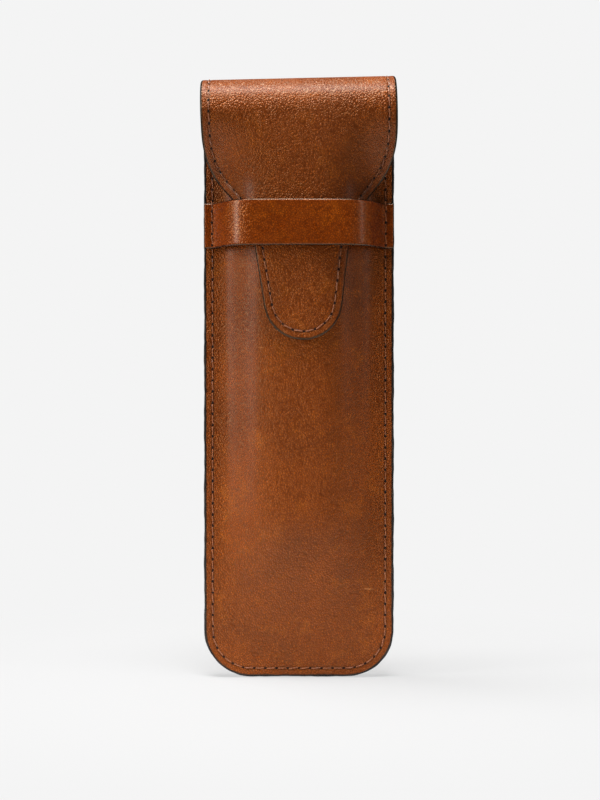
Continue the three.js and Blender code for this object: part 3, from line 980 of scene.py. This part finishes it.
backSeam = seamU(seamSizes["inset"])[1:-1]
topSide = flapHalf - seamSizes["inset"]
topSeam = np.array([(topSide, foldStart), (topSide, foldStart + foldLength / 2 - 0.1)])
backPath = np.concatenate([(topSeam * [-1, 1])[::-1], backSeam, topSeam])
stitches, holes = sew("back_seam_stitches", seamMarks(backPath, coverSurface, seamSizes["pitch"]), 23)
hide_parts("back_seam_thread", "crown_thread_left", "crown_thread_right")
for piece in (stitches, holes):
    bendBack(piece)

flapLine = insetLine(resample(frontEdge, spacing=0.5), seamSizes["inset"])
flapLine = flapLine[(flapLine[:, 0] > 0.3) & (flapLine[:, 1] < tipAlong)]
flapPath = np.concatenate([flapLine, (flapLine * [-1, 1])[::-1]])
flapMarks = seamMarks(flapPath, coverSurface, seamSizes["pitch"])
stitches, holes = sew("flap_stitches", flapMarks, 37)
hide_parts("flap_thread_left", "flap_thread_right", "tongue_thread")
for piece in (stitches, holes):
    bendFront(piece)


# room, light and camera

print("setting the light")


roomLook = {
    "white": 0.905,
    "lift": 0.593,  # the floor's even part, under what the lamps add
    "shade": 0.146,  # how strongly it takes light and shadow
    "fade": (50, 160),  # millimetres over which the shadow's floor runs out
    "card": (90, 300),  # millimetres over which the bright floor under the case runs out
    "air": (0.95, 0.92, 0.88, 1),
    "airStrength": 0.05,
}


def paleFloor():  # keeps a soft shadow near the case, and runs out into the plain backdrop
    r = roomLook
    f = Finish(bpy.data.materials.new("pale_floor"))
    tone = f.noise(60, 2, 0.5)
    shade = f.mix(tone * 0.03, (r["shade"],) * 3, (r["shade"] * 0.9,) * 3)
    lit = f.add("ShaderNodeBsdfDiffuse", {}, {"Color": shade})
    glow = f.add("ShaderNodeEmission", {}, {"Color": (*(r["lift"],) * 3, 1), "Strength": 1.0})
    near = f.add("ShaderNodeAddShader", {}, {0: lit, 1: glow})
    far = f.add("ShaderNodeEmission", {}, {"Color": (*(r["white"],) * 3, 1), "Strength": 1.0})
    away = f.add("ShaderNodeVectorMath", {"operation": "LENGTH"}, {0: f.place()}, out="Value")
    seen = f.add("ShaderNodeMixShader", {}, {0: away.above(*r["fade"]), 1: near, 2: far})
    card = f.mix(away.above(*r["card"]), (0.8, 0.8, 0.8), (0.06, 0.06, 0.06))  # the bright card is small
    plain = f.add("ShaderNodeBsdfDiffuse", {}, {"Color": card})
    ray = f.add("ShaderNodeLightPath", out="Is Camera Ray")
    both = f.add("ShaderNodeMixShader", {}, {0: ray, 1: plain, 2: seen})
    f.tree.links.new(both.socket, f.output.inputs["Surface"])
    return f.owner


floorSide = 2.5  # metres
floorMesh = bpy.data.meshes.new("pale_floor")
corners = [(-floorSide, -floorSide), (floorSide, -floorSide), (floorSide, floorSide), (-floorSide, floorSide)]
floorMesh.from_pydata([(x, y, -0.0003) for x, y in corners], [], [[0, 1, 2, 3]])
floor = bpy.data.objects.new("pale_floor", floorMesh)
floor.data.materials.append(paleFloor())
bpy.context.scene.collection.objects.link(floor)

lamps = {  # place in metres, size, power in watts
    "window_left": {"at": (-0.95, -0.38, 0.35), "size": (0.26, 0.8), "power": 9.6},
    "window_right": {"at": (0.95, -0.35, 0.40), "size": (0.20, 0.7), "power": 2.1},
    "overhead": {"at": (-0.10, -0.11, 1.00), "size": (0.7, 0.3), "power": 21.0},
    "high_left": {"at": (-0.55, -0.60, 0.80), "size": (0.5, 0.4), "power": 0.8},
}
aimAt = Vector((0, 0, 0.085))
for name, lamp in lamps.items():
    light = bpy.data.lights.new(name, "AREA")
    light.shape = "RECTANGLE"
    light.size, light.size_y = lamp["size"]
    light.energy = lamp["power"]
    holder = bpy.data.objects.new(name, light)
    holder.location = lamp["at"]
    holder.rotation_mode = "QUATERNION"
    holder.rotation_quaternion = (aimAt - Vector(lamp["at"])).to_track_quat("-Z", "Y")
    bpy.context.scene.collection.objects.link(holder)

studio = bpy.data.worlds.new("studio")
bpy.context.scene.world = studio
room = Finish(studio, "ShaderNodeOutputWorld")
seen = room.add("ShaderNodeBackground", {}, {"Color": (*(roomLook["white"],) * 3, 1)})
around = room.add("ShaderNodeBackground", {}, {"Color": roomLook["air"], "Strength": roomLook["airStrength"]})
ray = room.add("ShaderNodeLightPath", out="Is Camera Ray")
both = room.add("ShaderNodeMixShader", {}, {0: ray, 1: around, 2: seen})
room.tree.links.new(both.socket, room.output.inputs["Surface"])

cameraSet = {"distance": 0.45, "height": 0.085, "middle": (0.0003, 0.0805), "span": 0.2326}  # metres
camera = bpy.data.cameras.new("front_view")
camera.sensor_width = 36
camera.lens = camera.sensor_width * cameraSet["distance"] / cameraSet["span"]
cameraHolder = bpy.data.objects.new("front_view", camera)
stand = Vector((cameraSet["middle"][0], frontFace * mm - cameraSet["distance"], cameraSet["height"]))
aim = Vector((cameraSet["middle"][0], frontFace * mm, cameraSet["middle"][1]))
cameraHolder.location = stand
cameraHolder.rotation_mode = "QUATERNION"
cameraHolder.rotation_quaternion = (aim - stand).to_track_quat("-Z", "Y")
bpy.context.scene.collection.objects.link(cameraHolder)
bpy.context.scene.camera = cameraHolder
bpy.context.scene.view_settings.view_transform = "Standard"
